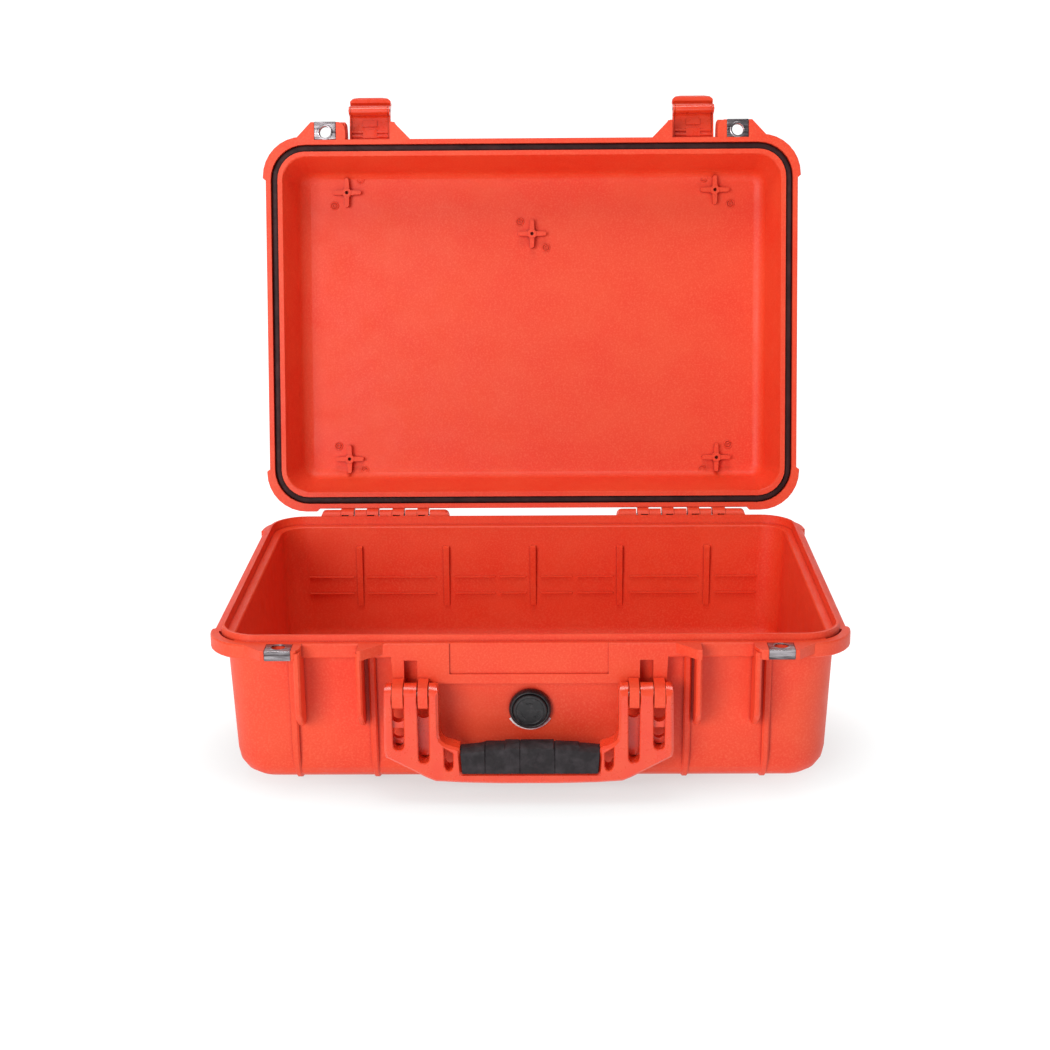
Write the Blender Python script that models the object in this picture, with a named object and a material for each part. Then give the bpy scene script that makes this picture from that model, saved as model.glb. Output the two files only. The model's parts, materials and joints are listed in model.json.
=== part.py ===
"""Hard equipment case with a hinged lid, two lever latches, a carrying handle and a purge valve.

The case is modelled standing open. Lengths in this file are millimetres and the mesh builder
turns them into metres. X runs to the right, Y to the back and Z up. The lid is first drawn shut
and then turned open about its hinge, so both halves share one set of outlines.
"""

import math

import bmesh
import bpy
from mathutils import Matrix, Vector

MM = 0.001

# Rim, shared by both halves
RIM_HALF_X = 232.5
RIM_HALF_Y = 161.6
RIM_RADIUS = 34.5
CORNER_BUMP = 2.5
BUMP_FROM_SIDE = 42.0
BUMP_FROM_END = 34.0
CORNER_STEPS = 8
CORNER_SLIT = (29.3, 31.1, 10.0, 58.0)
CORNER_SLIT_DEPTH = 2.2
EDGE_CHAMFER = 1.0

# Base
BASE_BOTTOM = 3.4
BASE_TOP = 118.3
BASE_FLANGE = 11.0
WALL_HALF_X = 223.9
WALL_HALF_Y = 151.0
WALL_RADIUS = 30.0
WALL_DRAFT_X = 0.040
WALL_DRAFT_Y = 0.0425
BOTTOM_RADIUS = 20.0
FLOOR_TOP = 9.5
TONGUE_HEIGHT = 4.7
LEDGE_DROP = 2.5
CAVITY_HALF_X = 217.4
CAVITY_HALF_Y = 146.4
CAVITY_RADIUS = 20.0
CAVITY_FILLET = 15.0

# Lid, heights counted from its own rim plane while shut
LID_RIM = 118.9
LID_FLANGE = 10.0
LID_DEPTH = 44.0
LID_TOP = 48.5
LID_RAIL_HEIGHT = 6.0
LID_TOP_RADIUS = 14.0
LID_WALL_SLANT = 7.0
LID_FILLET = 10.0
GROOVE_NEAR = 4.3
GROOVE_FAR = 10.4
GROOVE_DEPTH = 8.0
GASKET_FACE = 4.5
LID_OPEN_DEG = 102.0

# Hinge
HINGE_Y = 168.8
HINGE_Z = 118.6
LID_KNUCKLE_RADIUS = 6.9
BASE_KNUCKLE_RADIUS = 6.3
HINGE_PIN_RADIUS = 2.0
PIN_GAP = 0.3
BASE_KNUCKLES = ((73.9, 91.1), (102.5, 112.8), (124.6, 135.4), (147.2, 157.1), (169.9, 187.5))
LID_KNUCKLES = ((91.8, 101.8), (113.5, 123.9), (136.1, 146.5), (157.8, 169.2))
LID_SIDE_PLAY = 0.4

# Ears, guard ribs and padlock plates
EAR_FRONT = -176.6
EAR_THICK = 7.5
PLATE_MID_X = 180.0
PLATE_HALF_WIDTH = 9.3
PLATE_FRONT = -177.0
PLATE_SHEET = 0.8
PADLOCK_HOLE_RADIUS = 5.0
PADLOCK_HOLE_Y = -168.0
BASE_RIBS = {-1: ((120.2, 124.3), (164.4, 169.0)), 1: ((119.3, 123.4), (161.3, 165.6))}
LID_RIBS = ((119.4, 124.0), (162.4, 167.6))
RAIL_MID_X = (114.7, 172.8)
RAIL_WIDTH = 5.2
RAIL_HEIGHT = 4.5
RAIL_CORNER = 30.6
RIB_CHAMFER = 1.2

# Front panel and handle
PANEL_HALF_TOP = 100.4
PANEL_HALF_BOTTOM = 98.9
PANEL_BOTTOM = 87.7
RECESS_DEPTH = 1.4
HANDLE_PIVOT_Y = -171.5
HANDLE_PIVOT_Z = 83.2
HANDLE_HALF_THICK = 8.5
HANDLE_PIN_RADIUS = 2.0
LUGS = ((73.1, 80.2), (90.9, 98.8))
RIGHT_ARM_SHIFT = 1.6
INNER_SLOT = (72.2, 81.1, 32.8)
OUTER_SLOT = (90.2, 99.2, 43.1)
GRIP_HALF_TOP = 50.4
GRIP_HALF_BOTTOM = 49.1
GRIP_BOTTOM = 25.4
GRIP_END_HEIGHT = 17.6
CORE_TOP = 40.0

# Latches, drawn with the lid shut
LATCH_MID_X = 142.8
LATCH_HALF_WIDTH = 18.0
CHEEK = 1.7
LEVER_PIVOT = (-156.2, 135.6)
HOOK_PIVOT = (-156.8, 102.8)
LEVER_OPEN_DEG = 95.0

# Purge valve
VALVE_Z = 64.3
VALVE_RADIUS = 15.4
KNOB_RADIUS = 12.4
STEM_RADIUS = 8.0

# The whole is moved so that its bounding box stands centred on the origin
SHIFT_Y = -52.7


def make_object(name, points, faces):
    """One mesh object from millimetre points, with its faces turned outward."""
    mesh = bpy.data.meshes.new(name)
    mesh.from_pydata([(x * MM, y * MM, z * MM) for x, y, z in points], [], faces)
    bm = bmesh.new()
    bm.from_mesh(mesh)
    bmesh.ops.recalc_face_normals(bm, faces=bm.faces)
    bm.to_mesh(mesh)
    bm.free()
    made = bpy.data.objects.new(name, mesh)
    bpy.context.collection.objects.link(made)
    return made


def loft(name, rings, closed=False):
    """A skin over a stack of equal loops, capped at both ends or joined end to start."""
    count = len(rings[0])
    points = [point for ring in rings for point in ring]
    faces = []
    spans = len(rings) if closed else len(rings) - 1
    for level in range(spans):
        lower = level * count
        upper = ((level + 1) % len(rings)) * count
        for i in range(count):
            j = (i + 1) % count
            faces.append((lower + i, lower + j, upper + j, upper + i))
    if not closed:
        faces.append(tuple(reversed(range(count))))
        faces.append(tuple(range(len(points) - count, len(points))))
    return make_object(name, points, faces)


def prism_x(name, outline, x0, x1):
    """A (y, z) outline drawn out along X."""
    return loft(name, [[(x, y, z) for y, z in outline] for x in (x0, x1)])


def prism_y(name, outline, y0, y1):
    """An (x, z) outline drawn out along Y."""
    return loft(name, [[(x, y, z) for x, z in outline] for y in (y0, y1)])


def prism_z(name, outline, z0, z1):
    """An (x, y) outline drawn out along Z."""
    return loft(name, [[(x, y, z) for x, y in outline] for z in (z0, z1)])


def box(name, low, high):
    """A block between two corners."""
    outline = [(low[0], low[1]), (high[0], low[1]), (high[0], high[1]), (low[0], high[1])]
    return prism_z(name, outline, low[2], high[2])


def arc(centre, radius, start, stop, steps):
    """Points on an arc, angles in degrees from the first axis towards the second."""
    angles = [math.radians(start + (stop - start) * i / steps) for i in range(steps + 1)]
    return [(centre[0] + radius * math.cos(a), centre[1] + radius * math.sin(a)) for a in angles]


def disc(centre, radius, steps):
    """A full circle as a loop of points."""
    return arc(centre, radius, 0, 360, steps)[:-1]


def rod_x(name, centre, radius, x0, x1, steps=20, chamfer=0.0):
    """A round rod along X, with chamfered ends if asked."""
    stations = [(x0, radius), (x1, radius)]
    if chamfer:
        stations = [
            (x0, radius - chamfer),
            (x0 + chamfer, radius),
            (x1 - chamfer, radius),
            (x1, radius - chamfer),
        ]
    return loft(name, [[(x, y, z) for y, z in disc(centre, r, steps)] for x, r in stations])


def lathe_y(name, profile, steps=40):
    """A solid of revolution about the Y axis from (radius, y) pairs."""
    rings = []
    for radius, y in profile:
        rings.append([(x, y, z) for x, z in disc((0, 0), radius, steps)])
    return loft(name, rings)


def grown(outline, amount):
    """The same loop moved outward by an amount, corner by corner."""
    area = 0.0
    count = len(outline)
    for i, (x, y) in enumerate(outline):
        nx, ny = outline[(i + 1) % count]
        area += x * ny - nx * y
    side = 1.0 if area > 0 else -1.0
    moved = []
    for i, here in enumerate(outline):
        before = Vector(outline[i - 1])
        point = Vector(here)
        after = Vector(outline[(i + 1) % count])
        first = (point - before).normalized()
        second = (after - point).normalized()
        normal_a = Vector((first.y, -first.x)) * side
        normal_b = Vector((second.y, -second.x)) * side
        middle = normal_a + normal_b
        reach = amount / max(0.35, middle.dot(normal_a) / middle.length)
        moved.append(tuple(point + middle.normalized() * reach))
    return moved


def plate_y(name, outline, y0, y1, edge):
    """A plate across Y whose two face edges are chamfered, or flared when edge is negative."""
    step = abs(edge)
    inner = grown(outline, -edge)
    layers = [(y0, inner), (y0 + step, outline), (y1 - step, outline), (y1, inner)]
    return loft(name, [[(x, y, z) for x, z in loop] for y, loop in layers])


def merge(target, operation, tools):
    """Joins tools to a target, or cuts them from it, and removes the tools."""
    for tool in tools:
        modifier = target.modifiers.new("shape", "BOOLEAN")
        modifier.operation = operation
        modifier.solver = "EXACT"
        modifier.object = tool
        graph = bpy.context.evaluated_depsgraph_get()
        mesh = bpy.data.meshes.new_from_object(target.evaluated_get(graph))
        old = target.data
        target.modifiers.clear()
        target.data = mesh
        bpy.data.meshes.remove(old)
        bpy.data.objects.remove(tool)
    return target


def add(target, *tools):
    return merge(target, "UNION", tools)


def cut(target, *tools):
    return merge(target, "DIFFERENCE", tools)


def tidy(target, angle=0.02):
    """Closes hairline seams left by joining and merges faces that lie in one plane."""
    bm = bmesh.new()
    bm.from_mesh(target.data)
    bmesh.ops.remove_doubles(bm, verts=bm.verts, dist=0.00001)
    bmesh.ops.dissolve_degenerate(bm, dist=0.00001, edges=bm.edges)
    bmesh.ops.dissolve_limit(
        bm,
        angle_limit=math.radians(angle),
        verts=bm.verts,
        edges=bm.edges,
        use_dissolve_boundaries=False,
    )
    bm.to_mesh(target.data)
    bm.free()
    return target


def smooth(target, angle=32):
    """Smooth shading that keeps real edges sharp."""
    for polygon in target.data.polygons:
        polygon.use_smooth = True
    target.data.set_sharp_from_angle(angle=math.radians(angle))
    return target


def paint(target, colour, roughness, metallic=0.0):
    """Gives a piece its own Principled material."""
    material = bpy.data.materials.new(target.name)
    material.use_nodes = True
    shader = material.node_tree.nodes["Principled BSDF"]
    shader.inputs["Base Color"].default_value = (*colour, 1.0)
    shader.inputs["Roughness"].default_value = roughness
    shader.inputs["Metallic"].default_value = metallic
    material.diffuse_color = (*colour, 1.0)
    target.data.materials.clear()
    target.data.materials.append(material)
    return target


ORANGE = (0.87, 0.10, 0.04)
BLACK = (0.03, 0.028, 0.03)
RUBBER = (0.045, 0.04, 0.045)
STEEL = (0.62, 0.62, 0.64)
PALE = (0.85, 0.78, 0.78)


# ---- loops around the case


def corner_loop(half_x, half_y, radius, z, bump=0.0):
    """A rounded rectangle seen from above, stepping out by bump near its four corners."""
    mid_x = half_x + bump - radius
    mid_y = half_y + bump - radius
    quarter = [
        (half_x, half_y - BUMP_FROM_END - 0.9),
        (half_x + bump, half_y - BUMP_FROM_END + 0.9),
    ]
    quarter += arc((mid_x, mid_y), radius, 0, 90, CORNER_STEPS)
    quarter += [
        (half_x - BUMP_FROM_SIDE + 0.9, half_y + bump),
        (half_x - BUMP_FROM_SIDE - 0.9, half_y),
    ]
    mirrored = list(reversed(quarter))
    loop = list(quarter)
    loop += [(-x, y) for x, y in mirrored]
    loop += [(-x, -y) for x, y in quarter]
    loop += [(x, -y) for x, y in mirrored]
    return [(x, y, z) for x, y in loop]


def rim_loop(offset, z, bump=0.0):
    """A loop a given distance in from the rim's outer edge."""
    return corner_loop(
        RIM_HALF_X - offset, RIM_HALF_Y - offset, max(RIM_RADIUS - offset, 8.0), z, bump
    )


def wall_loop(inset, z, depth_from_top):
    """A loop on the drafted outer wall, brought in by an inset for rounded bottoms."""
    return corner_loop(
        WALL_HALF_X - WALL_DRAFT_X * depth_from_top - inset,
        WALL_HALF_Y - WALL_DRAFT_Y * depth_from_top - inset,
        WALL_RADIUS - inset,
        z,
    )


def cavity_loop(inset, z, depth_from_top):
    """A loop on the drafted inner wall."""
    return corner_loop(
        CAVITY_HALF_X - 0.03 * depth_from_top - inset,
        CAVITY_HALF_Y - 0.032 * depth_from_top - inset,
        max(CAVITY_RADIUS - inset, 4.0),
        z,
    )


def quarter_turn(radius, steps):
    """Pairs of (inset, rise) that round an edge from flat to upright."""
    turn = []
    for i in range(steps + 1):
        angle = math.radians(90.0 * i / steps)
        turn.append((radius * (1 - math.sin(angle)), radius * (1 - math.cos(angle))))
    return turn


# ---- outlines shared by base and lid


def ear_outline(side, root, near):
    """The padlock ear seen from above, from its near edge out to the corner of the rim."""
    points = [(207.5, -160.7), (192.4, EAR_FRONT), (near + 5.6, EAR_FRONT), (near + 2.6, -175.4)]
    points += [(near + 0.8, -172.4), (near, -168.0), (near, root), (203.0, root)]
    return [(side * x, y) for x, y in points]


def gusset_outline(side, root):
    """The slanted web between the front panel and the inner guard rib."""
    points = [(123.2, root), (123.2, EAR_FRONT), (121.2, EAR_FRONT), (119.6, -175.8)]
    points += [(104.6, -160.4), (104.6, root)]
    return [(side * x, y) for x, y in points]


def rail_outline(top, wall_foot, flat, radius, height, drop, corner):
    """A rail's (y, z) band: down one wall, across the flat underside and up the other wall."""
    embed = 2.0
    outer = [(WALL_HALF_Y + height, top)]
    outer += arc((wall_foot + height - corner, flat - drop + corner), corner, 0, -90, 6)
    inner = [(WALL_HALF_Y - embed, top)]
    inner += arc((wall_foot - radius, flat + radius), radius - embed, 0, -90, 6)
    front = [(-y, z) for y, z in outer]
    inside_front = [(-y, z) for y, z in reversed(inner)]
    return front + list(reversed(outer)) + inner + inside_front


def chamfered_x(name, full, low, x0, x1):
    """A (y, z) outline drawn out along X that drops to a lower one at its two faces."""
    stations = ((x0, low), (x0 + RIB_CHAMFER, full), (x1 - RIB_CHAMFER, full), (x1, low))
    return loft(name, [[(x, y, z) for y, z in outline] for x, outline in stations])


# ---- base


def base_body():
    """The tray with its rim flange, tongue and ledge, as one skin from below to within."""
    wall_top = BASE_TOP - BASE_FLANGE
    rings = []
    for inset, rise in quarter_turn(BOTTOM_RADIUS, 4):
        z = BASE_BOTTOM + rise
        depth = wall_top - BASE_BOTTOM - BOTTOM_RADIUS
        rings.append(wall_loop(inset, z, depth))
    rings.append(wall_loop(0, wall_top, 0))
    rings.append(rim_loop(EDGE_CHAMFER, wall_top, CORNER_BUMP))
    rings.append(rim_loop(0, wall_top + EDGE_CHAMFER, CORNER_BUMP))
    rings.append(rim_loop(0, BASE_TOP - EDGE_CHAMFER, CORNER_BUMP))
    rings.append(rim_loop(EDGE_CHAMFER, BASE_TOP, CORNER_BUMP))
    rings.append(rim_loop(5.4, BASE_TOP))
    rings.append(rim_loop(5.9, BASE_TOP + TONGUE_HEIGHT))
    rings.append(rim_loop(7.8, BASE_TOP + TONGUE_HEIGHT))
    rings.append(rim_loop(8.4, BASE_TOP - LEDGE_DROP))
    rings.append(rim_loop(14.4, BASE_TOP - LEDGE_DROP))
    rings.append(cavity_loop(0, BASE_TOP - LEDGE_DROP - 0.8, 3))
    for inset, rise in reversed(quarter_turn(CAVITY_FILLET, 3)):
        rings.append(cavity_loop(inset, FLOOR_TOP + rise, 94))
    return loft("base_shell", rings)


def corner_slits(base, side):
    """Short curved slits in the flange's top, outside the tongue at the corners."""
    near, far, start, stop = CORNER_SLIT
    centre = (RIM_HALF_X - RIM_RADIUS, RIM_HALF_Y - RIM_RADIUS)
    band = arc(centre, far, start, stop, 6) + arc(centre, near, stop, start, 6)
    for end in (-1, 1):
        outline = [(side * x, end * y) for x, y in band]
        cut(base, prism_z("slit", outline, BASE_TOP - CORNER_SLIT_DEPTH, BASE_TOP + 1.0))


def base_ears(base, side):
    """Padlock ear, gusset and the two guard ribs beside one latch."""
    low = BASE_TOP - EAR_THICK
    outer_rib = BASE_RIBS[side][1]
    ear = prism_z("ear", ear_outline(side, -155.0, outer_rib[0]), low, BASE_TOP)
    gusset = prism_z("gusset", gusset_outline(side, -155.0), low, BASE_TOP)
    add(base, ear, gusset)
    full = [(-147.5, 116.0), (EAR_FRONT, 116.0), (EAR_FRONT, 70.5), (-175.6, 67.5)]
    full += [(-171.5, 63.0), (-160.0, 54.8), (-156.0, 53.0), (-147.5, 52.5)]
    slim = []
    for y, z in full:
        lift = RIB_CHAMFER if z < 80.0 else 0.0
        slim.append((max(y, EAR_FRONT + RIB_CHAMFER), z + lift))
    for near, far in BASE_RIBS[side]:
        ends = sorted((side * near, side * far))
        add(base, chamfered_x("rib", full, slim, ends[0], ends[1]))


def base_rails(base, side):
    """Strengthening rails that run down the walls and under the floor as feet."""
    wall_top = BASE_TOP - BASE_FLANGE
    wall_foot = WALL_HALF_Y - WALL_DRAFT_Y * (wall_top - BASE_BOTTOM - BOTTOM_RADIUS)
    full, slim = [
        rail_outline(
            wall_top + 2.0,
            wall_foot,
            BASE_BOTTOM,
            BOTTOM_RADIUS,
            RAIL_HEIGHT - less,
            BASE_BOTTOM - less,
            RAIL_CORNER,
        )
        for less in (0.0, RIB_CHAMFER)
    ]
    for middle in RAIL_MID_X:
        low = side * middle - RAIL_WIDTH / 2
        add(base, chamfered_x("rail", full, slim, low, low + RAIL_WIDTH))


def arm_x(side, x):
    """A place on a handle arm or its lugs; the right arm stands a little closer in."""
    return side * x - (RIGHT_ARM_SHIFT if side > 0 else 0.0)


def arm_span(side, near, far):
    return sorted((arm_x(side, near), arm_x(side, far)))


def base_front(base):
    """The front panel with its label recess, two openings and four handle lugs."""
    top = BASE_TOP - EDGE_CHAMFER
    panel = [(-PANEL_HALF_BOTTOM, PANEL_BOTTOM), (PANEL_HALF_BOTTOM, PANEL_BOTTOM)]
    panel += [(PANEL_HALF_TOP, top), (-PANEL_HALF_TOP, top)]
    add(base, prism_y("panel", panel, -RIM_HALF_Y, -147.5))
    for side in (-1, 1):
        span = arm_span(side, 81.2, 90.9)
        cut(base, box("window", (span[0], -170, 80.0), (span[1], -151.6, 105.5)))
    profile = [(-147.5, 92.0), (-160.5, 92.0), (-173.0, 91.6), (-177.2, 90.0), (-179.5, 86.4)]
    profile += [(-180.0, 82.6), (-180.0, 79.0), (-178.4, 75.2), (-174.6, 73.0)]
    profile += [(-166.0, 72.4), (-147.5, 65.0)]
    for side in (-1, 1):
        for near, far in LUGS:
            span = arm_span(side, near, far)
            add(base, prism_x("lug", profile, span[0], span[1]))
    pivot = (HANDLE_PIVOT_Y, HANDLE_PIVOT_Z)
    for side in (-1, 1):
        span = sorted((side * 70.0, side * 102.0))
        cut(base, rod_x("bore", pivot, HANDLE_PIN_RADIUS + PIN_GAP, span[0], span[1], 16))
    low = (-58.0, -170.0, 94.7)
    high = (57.0, -RIM_HALF_Y + RECESS_DEPTH, 125.0)
    cut(base, box("recess", low, high))


def knuckle_profile(web, radius):
    """A hinge knuckle's outline: its round, closed by a web that ends in a flange."""
    shape = arc((HINGE_Y, HINGE_Z), radius, 180, -62, 16)
    return shape + web


def hinge_knuckles(target, spans, web, side):
    """The knuckles of one half on one side, bored for the pin."""
    for near, far in spans:
        ends = sorted((side * near, side * far))
        shape = knuckle_profile(web, BASE_KNUCKLE_RADIUS)
        add(target, prism_x("knuckle", shape, ends[0], ends[1]))
    ends = sorted((side * 70.0, side * 191.0))
    pivot = (HINGE_Y, HINGE_Z)
    cut(target, rod_x("bore", pivot, HINGE_PIN_RADIUS + PIN_GAP, ends[0], ends[1], 16))


def rounded_knuckle_ends(base, side):
    """Slopes the outer shoulders of the end knuckles."""
    for x, away in ((73.9, -1), (187.5, 1)):
        wedge = [(x - away * 6.5, 126.2), (x + away * 1.0, 126.2), (x + away * 1.0, 118.5)]
        wedge += [(x, 118.5), (x - away * 0.7, 121.2), (x - away * 2.2, 123.4)]
        wedge += [(x - away * 4.4, 124.6)]
        cut(base, prism_y("wedge", [(side * a, b) for a, b in wedge], 161.7, 177.0))


def base_inside(base):
    """Raised upright ribs and thin level lines on the inner back wall."""
    for x in (-152.0, -76.0, 0.0, 76.0, 152.0):
        outline = [(141.6, 97.6), (147.0, 98.8), (147.0, 43.6), (142.6, 44.2)]
        add(base, prism_x("rib", outline, x - 2.4, x + 2.4))
    spans = ((-196.7, -157.5), (-146.0, -85.3), (-68.6, -33.5), (-29.1, -6.2))
    spans += ((6.9, 34.2), (38.5, 70.1), (85.1, 144.7), (159.6, 195.5))
    for z in (70.3, 55.4):
        face = CAVITY_HALF_Y - 0.032 * (BASE_TOP - z) - 1.6
        for near, far in spans:
            outline = [(face, z - 0.5), (face, z + 0.4), (147.0, z + 1.0), (147.0, z - 1.2)]
            add(base, prism_x("line", outline, near, far))


def padlock_seat(target, side, low, high):
    """Relief and hole in an ear, so that the steel plate lies flush around it."""
    x0 = side * PLATE_MID_X - PLATE_HALF_WIDTH - 0.3
    x1 = side * PLATE_MID_X + PLATE_HALF_WIDTH + 0.3
    skin = PLATE_SHEET + 0.3
    cut(target, box("relief", (x0, -185.0, high - skin), (x1, -161.3, high + 3.0)))
    cut(target, box("relief", (x0, -185.0, low - 3.0), (x1, -161.3, low + skin)))
    cut(target, box("relief", (x0, -185.0, low - 3.0), (x1, PLATE_FRONT + skin, high + 3.0)))
    hole = disc((side * PLATE_MID_X, PADLOCK_HOLE_Y), PADLOCK_HOLE_RADIUS + 0.4, 20)
    cut(target, prism_z("hole", hole, low - 3.0, high + 3.0))


def build_base():
    base = base_body()
    for side in (-1, 1):
        corner_slits(base, side)
        base_ears(base, side)
        base_rails(base, side)
    base_front(base)
    web = [(166.5, BASE_TOP - BASE_FLANGE + 0.2), (158.0, BASE_TOP - BASE_FLANGE + 0.2)]
    web += [(158.0, BASE_TOP - 0.6), (161.2, BASE_TOP - 0.6)]
    for side in (-1, 1):
        hinge_knuckles(base, BASE_KNUCKLES, web, side)
        rounded_knuckle_ends(base, side)
        padlock_seat(base, side, BASE_TOP - EAR_THICK, BASE_TOP)
    base_inside(base)
    bore = lathe_y("bore", [(STEM_RADIUS + PIN_GAP, -160.0), (STEM_RADIUS + PIN_GAP, -130.0)], 24)
    bore.data.transform(Matrix.Translation((0, 0, VALVE_Z * MM)))
    cut(base, bore)
    tidy(base)
    smooth(base)
    return paint(base, ORANGE, 0.5)


# ---- lid, drawn shut


def lid_body():
    """The shallow tray, as one skin from its top over the rim to its inner floor."""
    rings = []
    top = LID_RIM + LID_TOP
    depth = LID_TOP - LID_FLANGE - LID_TOP_RADIUS
    for inset, rise in quarter_turn(LID_TOP_RADIUS, 4):
        rings.append(wall_loop(inset, top - rise, depth))
    rings.append(wall_loop(0, LID_RIM + LID_FLANGE, 0))
    rings.append(rim_loop(EDGE_CHAMFER, LID_RIM + LID_FLANGE, CORNER_BUMP))
    rings.append(rim_loop(0, LID_RIM + LID_FLANGE - EDGE_CHAMFER, CORNER_BUMP))
    rings.append(rim_loop(0, LID_RIM + 0.6, CORNER_BUMP))
    rings.append(rim_loop(0.6, LID_RIM, CORNER_BUMP))
    rings.append(rim_loop(GROOVE_NEAR, LID_RIM))
    rings.append(rim_loop(GROOVE_NEAR, LID_RIM + GROOVE_DEPTH))
    rings.append(rim_loop(GROOVE_FAR, LID_RIM + GROOVE_DEPTH))
    rings.append(rim_loop(GROOVE_FAR, LID_RIM))
    rings.append(rim_loop(14.4, LID_RIM))
    rings.append(cavity_loop(0, LID_RIM + 0.8, 1))
    for inset, rise in reversed(quarter_turn(LID_FILLET, 4)):
        rings.append(cavity_loop(inset + LID_WALL_SLANT, LID_RIM + LID_DEPTH - rise, 60))
    return loft("lid_shell", rings)


def lid_ears(lid, side):
    """Padlock ear, gusset and the two ribs that carry one latch."""
    high = LID_RIM + EAR_THICK
    ear = prism_z("ear", ear_outline(side, -158.2, LID_RIBS[1][0]), LID_RIM, high)
    gusset = prism_z("gusset", gusset_outline(side, -158.2), LID_RIM, high)
    over_groove = LID_RIM + GROOVE_DEPTH + 1.5
    profile = [(-147.5, over_groove), (-158.2, over_groove), (-158.2, 121.5)]
    profile += [(EAR_FRONT, 121.5), (EAR_FRONT, 137.0), (-175.0, 141.5)]
    profile += [(-171.0, 145.0), (-147.5, 153.0)]
    ribs = [prism_x("rib", profile, side * a, side * b) for a, b in LID_RIBS]
    add(lid, ear, gusset, *ribs)
    ends = sorted((side * 117.0, side * 170.0))
    cut(lid, rod_x("bore", LEVER_PIVOT, 2.0, ends[0], ends[1], 16))


def core_slots(lid):
    """Small moulded slots low in the lid's knuckles, cut once the lid stands open."""
    for side in (-1, 1):
        for near, far in LID_KNUCKLES:
            ends = sorted((side * (far + LID_SIDE_PLAY - 0.8), side * (far + LID_SIDE_PLAY - 7.0)))
            cut(lid, box("slot", (ends[0], 160.0, 119.2), (ends[1], 167.4, 121.9)))


def lid_rails(lid, side):
    """Strengthening rails over the lid, in line with the base's."""
    wall_foot = WALL_HALF_Y - WALL_DRAFT_Y * (LID_TOP - LID_FLANGE - LID_TOP_RADIUS)
    outlines = []
    for less in (0.0, RIB_CHAMFER):
        height = LID_RAIL_HEIGHT - less
        upside_down = rail_outline(
            -(LID_RIM + LID_FLANGE - 2.0),
            wall_foot,
            -(LID_RIM + LID_TOP),
            LID_TOP_RADIUS,
            height,
            height,
            LID_TOP_RADIUS + height,
        )
        outlines.append([(y, -z) for y, z in upside_down])
    for middle in RAIL_MID_X:
        low = side * middle - RAIL_WIDTH / 2
        add(lid, chamfered_x("rail", outlines[0], outlines[1], low, low + RAIL_WIDTH))


def lid_bosses(lid):
    """Cross-shaped screw bosses on the lid's inner floor."""
    floor = LID_RIM + LID_DEPTH
    quarter = [(-2.1, 3.6), (-1.7, 11.4), (-1.0, 12.6), (1.0, 12.6), (1.7, 11.4), (2.1, 3.6)]
    plus = []
    for turned in range(4):
        for a, b in quarter:
            plus.append((a, b))
        quarter = [(b, -a) for a, b in quarter]
    spots = ((-165.5, -119.2), (163.4, -119.8), (0.0, -81.8), (-165.8, 119.2), (165.2, 119.0))
    for x, y in spots:
        cross = prism_z("cross", [(x + a, y + b) for a, b in plus], floor - 6.5, floor + 2.0)
        core = prism_z("core", disc((x, y), 4.0, 16), floor - 7.0, floor + 2.0)
        hole = prism_z("hole", disc((x, y), 1.6, 10), floor - 9.0, floor - 1.0)
        add(lid, cross, core)
        cut(lid, hole)


def build_lid():
    lid = lid_body()
    for side in (-1, 1):
        lid_ears(lid, side)
        lid_rails(lid, side)
    top = LID_RIM + LID_FLANGE
    web = [(166.0, top - 0.3), (158.0, top - 0.3), (158.0, LID_RIM + 0.7), (161.2, LID_RIM + 0.7)]
    mirrored = [(y, 2 * HINGE_Z - z) for y, z in knuckle_profile([], LID_KNUCKLE_RADIUS)]
    for side in (-1, 1):
        for near, far in LID_KNUCKLES:
            ends = sorted((side * (near + LID_SIDE_PLAY), side * (far + LID_SIDE_PLAY)))
            add(lid, prism_x("knuckle", mirrored + web, ends[0], ends[1]))
        ends = sorted((side * 70.0, side * 191.0))
        pivot = (HINGE_Y, HINGE_Z)
        cut(lid, rod_x("bore", pivot, HINGE_PIN_RADIUS + PIN_GAP, ends[0], ends[1], 16))
        padlock_seat(lid, side, LID_RIM, LID_RIM + EAR_THICK)
    lid_bosses(lid)
    tidy(lid)
    smooth(lid)
    return paint(lid, ORANGE, 0.5)


def build_gasket():
    """A soft strip with a domed face, lying in the lid's groove."""
    near = GROOVE_NEAR + 0.3
    far = GROOVE_FAR - 0.3
    face = LID_RIM + GASKET_FACE
    back = LID_RIM + GROOVE_DEPTH - 0.3
    profile = [(near, back), (near, face + 0.8), (near + 1.2, face), (far - 1.2, face)]
    profile += [(far, face + 0.8), (far, back)]
    gasket = loft("lid_gasket", [rim_loop(o, z) for o, z in profile], closed=True)
    smooth(gasket, 60)
    return paint(gasket, BLACK, 0.7)


def build_padlock_plate(name, side, low):
    """A steel U around an ear, with its padlock hole."""
    high = low + EAR_THICK
    t = PLATE_SHEET
    front = PLATE_FRONT
    outline = [(-161.7, high), (front + 0.5, high), (front, high - 0.5), (front, low + 0.5)]
    outline += [(front + 0.5, low), (-161.7, low), (-161.7, low + t), (front + t, low + t)]
    outline += [(front + t, high - t), (-161.7, high - t)]
    x0 = side * PLATE_MID_X - PLATE_HALF_WIDTH
    plate = prism_x(name, outline, x0, x0 + 2 * PLATE_HALF_WIDTH)
    hole = disc((side * PLATE_MID_X, PADLOCK_HOLE_Y), PADLOCK_HOLE_RADIUS, 24)
    cut(plate, prism_z("hole", hole, low - 2.0, high + 2.0))
    tidy(plate)
    smooth(plate)
    return paint(plate, STEEL, 0.25, 1.0)


# ---- latches, drawn shut


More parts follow.
